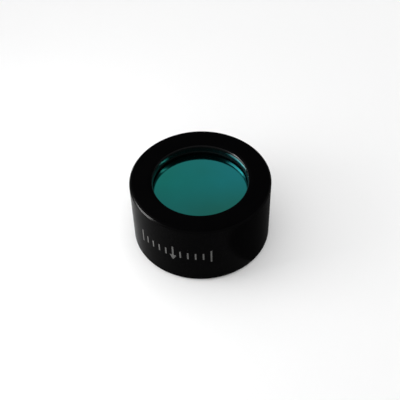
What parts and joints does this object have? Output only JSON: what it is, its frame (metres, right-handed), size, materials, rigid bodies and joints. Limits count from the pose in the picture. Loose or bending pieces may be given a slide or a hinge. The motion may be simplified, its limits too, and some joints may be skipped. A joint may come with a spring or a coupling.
{
  "type": "optical bandpass filter",
  "caption": "Small round optical bandpass filter: coated, laminated glass in a black anodised cup with a front lip and a slotted rear retaining ring.",
  "frame": {"origin": "centre of the housing's rear face, on the optical axis", "axes": "+Z along the optical axis, towards the coated front face; +X and +Y square to it, with the retaining ring's slots along X"},
  "size_m": [0.0125, 0.0124, 0.0066],
  "materials": {
    "black_anodised": "black anodised, satin",
    "black_shim": "matt",
    "coated_glass": "polished, mirror-like dielectric coating",
    "mask_foil": "matt black",
    "optical_cement": "clear",
    "absorbing_glass": "polished",
    "rear_glass": "polished, coated",
    "black_sealant": "matt"
  },
  "bodies": {
    "root": {"housing": "black_anodised", "front_gasket": "black_shim", "bandpass_plate": "coated_glass", "front_mask": "mask_foil", "front_cement": "optical_cement", "blocking_glass": "absorbing_glass", "rear_mask": "mask_foil", "rear_cement": "optical_cement", "rear_plate": "rear_glass", "edge_seal": "black_sealant", "rear_gasket": "black_shim", "retaining_ring": "black_anodised"}
  },
  "joints": []
}
